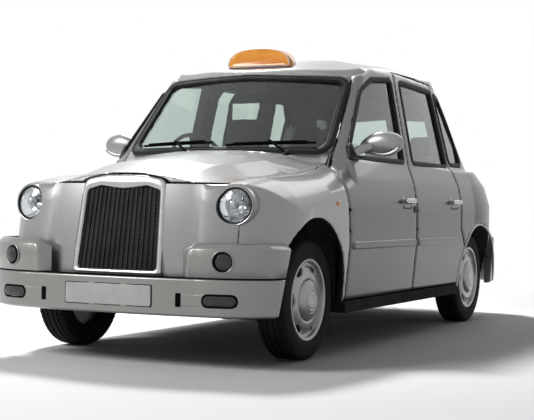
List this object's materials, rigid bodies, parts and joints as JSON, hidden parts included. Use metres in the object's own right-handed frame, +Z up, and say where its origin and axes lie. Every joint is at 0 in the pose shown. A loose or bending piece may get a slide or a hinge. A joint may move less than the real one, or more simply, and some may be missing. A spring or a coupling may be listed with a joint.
{
  "type": "taxi cab",
  "caption": "Upright silver taxi cab with round lamps, tall grille, roof sign, hinged doors, bonnet and boot lid, steered front wheels and a glazed cabin.",
  "frame": {"origin": "on the ground under the middle of the cab's overall length and width", "axes": "+Z up, the cab faces -Y, its left side is +X"},
  "size_m": [2.036, 4.58, 1.8339],
  "materials": {
    "silver_paint": "metallic silver paint",
    "chassis_black": "satin black paint",
    "bright_trim": "bright plated trim",
    "black_trim": "matt black moulding",
    "amber_lens": "amber lens",
    "red_lens": "red lens",
    "clear_glass": "clear lamp glass",
    "tinted_glass": "green grey tinted glass",
    "cabin_trim": "dark cabin moulding",
    "seat_cloth": "dark seat cloth",
    "axle_steel": "bare steel",
    "engine_iron": "cast iron",
    "wheel_silver": "silver wheel finish",
    "tyre_rubber": "black rubber"
  },
  "bodies": {
    "body": {"chassis_frame": "chassis_black", "floor_pan": "chassis_black", "rear_floor": "chassis_black", "body_sides": "silver_paint", "roof_panel": "silver_paint", "rear_panel": "silver_paint", "scuttle": "silver_paint", "front_wings": "silver_paint", "front_panel": "silver_paint", "grille_surround": "bright_trim", "grille_mesh": "black_trim", "front_bumper": "silver_paint", "rear_bumper": "silver_paint", "bumper_lamps": "amber_lens", "tail_lamps": "red_lens", "headlamps": "clear_glass", "headlamp_rims": "silver_paint", "windscreen": "tinted_glass", "rear_glass": "tinted_glass", "wipers": "black_trim", "sign_base": "black_trim", "sign_lens": "amber_lens", "dashboard": "cabin_trim", "driver_seat": "seat_cloth", "rear_bench": "seat_cloth", "partition": "cabin_trim", "rear_axle": "axle_steel", "engine_block": "engine_iron", "exhaust": "axle_steel"},
    "bonnet_lid": {"bonnet": "silver_paint"},
    "boot_hatch": {"boot_lid": "silver_paint"},
    "helm": {"steering_wheel": "cabin_trim"},
    "front_door_left": {"door_front_left": "silver_paint", "door_glass_front_left": "tinted_glass", "mirror_left": "silver_paint"},
    "rear_door_left": {"door_rear_left": "silver_paint", "door_glass_rear_left": "tinted_glass"},
    "steer_left": {"knuckle_front_left": "axle_steel"},
    "front_wheel_left": {"wheel_front_left": "wheel_silver", "tyre_front_left": "tyre_rubber"},
    "rear_wheel_left": {"wheel_rear_left": "wheel_silver", "tyre_rear_left": "tyre_rubber"},
    "front_door_right": {"door_front_right": "silver_paint", "door_glass_front_right": "tinted_glass", "mirror_right": "silver_paint"},
    "rear_door_right": {"door_rear_right": "silver_paint", "door_glass_rear_right": "tinted_glass"},
    "steer_right": {"knuckle_front_right": "axle_steel"},
    "front_wheel_right": {"wheel_front_right": "wheel_silver", "tyre_front_right": "tyre_rubber"},
    "rear_wheel_right": {"wheel_rear_right": "wheel_silver", "tyre_rear_right": "tyre_rubber"}
  },
  "joints": [
    {"name": "front_door_left_hinge", "type": "hinge", "parent": "body", "child": "front_door_left", "pos_m": [0.862, -1.097, 0.6], "axis": [0, 0, -1], "range_deg": [0, 65]},
    {"name": "rear_door_left_hinge", "type": "hinge", "parent": "body", "child": "rear_door_left", "pos_m": [0.862, 0.027, 0.6], "axis": [0, 0, -1], "range_deg": [0, 75]},
    {"name": "steer_left_kingpin", "type": "hinge", "parent": "body", "child": "steer_left", "pos_m": [0.65, -1.5, 0.33], "axis": [0, 0, 1], "range_deg": [-42, 42]},
    {"name": "front_wheel_left_spin", "type": "hinge", "parent": "steer_left", "child": "front_wheel_left", "pos_m": [0.7, -1.5, 0.33], "axis": [1, 0, 0], "continuous": true},
    {"name": "rear_wheel_left_spin", "type": "hinge", "parent": "body", "child": "rear_wheel_left", "pos_m": [0.7, 1.386, 0.33], "axis": [1, 0, 0], "continuous": true},
    {"name": "front_door_right_hinge", "type": "hinge", "parent": "body", "child": "front_door_right", "pos_m": [-0.862, -1.097, 0.6], "axis": [0, 0, 1], "range_deg": [0, 65]},
    {"name": "rear_door_right_hinge", "type": "hinge", "parent": "body", "child": "rear_door_right", "pos_m": [-0.862, 0.027, 0.6], "axis": [0, 0, 1], "range_deg": [0, 75]},
    {"name": "steer_right_kingpin", "type": "hinge", "parent": "body", "child": "steer_right", "pos_m": [-0.65, -1.5, 0.33], "axis": [0, 0, 1], "range_deg": [-42, 42]},
    {"name": "front_wheel_right_spin", "type": "hinge", "parent": "steer_right", "child": "front_wheel_right", "pos_m": [-0.7, -1.5, 0.33], "axis": [1, 0, 0], "continuous": true},
    {"name": "rear_wheel_right_spin", "type": "hinge", "parent": "body", "child": "rear_wheel_right", "pos_m": [-0.7, 1.386, 0.33], "axis": [1, 0, 0], "continuous": true},
    {"name": "bonnet_hinge", "type": "hinge", "parent": "body", "child": "bonnet_lid", "pos_m": [0, -1.13, 1.13], "axis": [-1, 0, 0], "range_deg": [0, 50]},
    {"name": "boot_hinge", "type": "hinge", "parent": "body", "child": "boot_hatch", "pos_m": [0, 2.02546, 1.09], "axis": [1, 0, 0], "range_deg": [0, 80]},
    {"name": "steering_wheel_turn", "type": "hinge", "parent": "body", "child": "helm", "pos_m": [-0.45, -0.54, 1.14], "axis": [0, 0.8, 0.6], "range_deg": [-588, 588]}
  ],
  "couplings": [
    {"joint": "steer_right_kingpin", "follows": "steer_left_kingpin", "ratio": 1},
    {"joint": "steering_wheel_turn", "follows": "steer_left_kingpin", "ratio": 14}
  ]
}
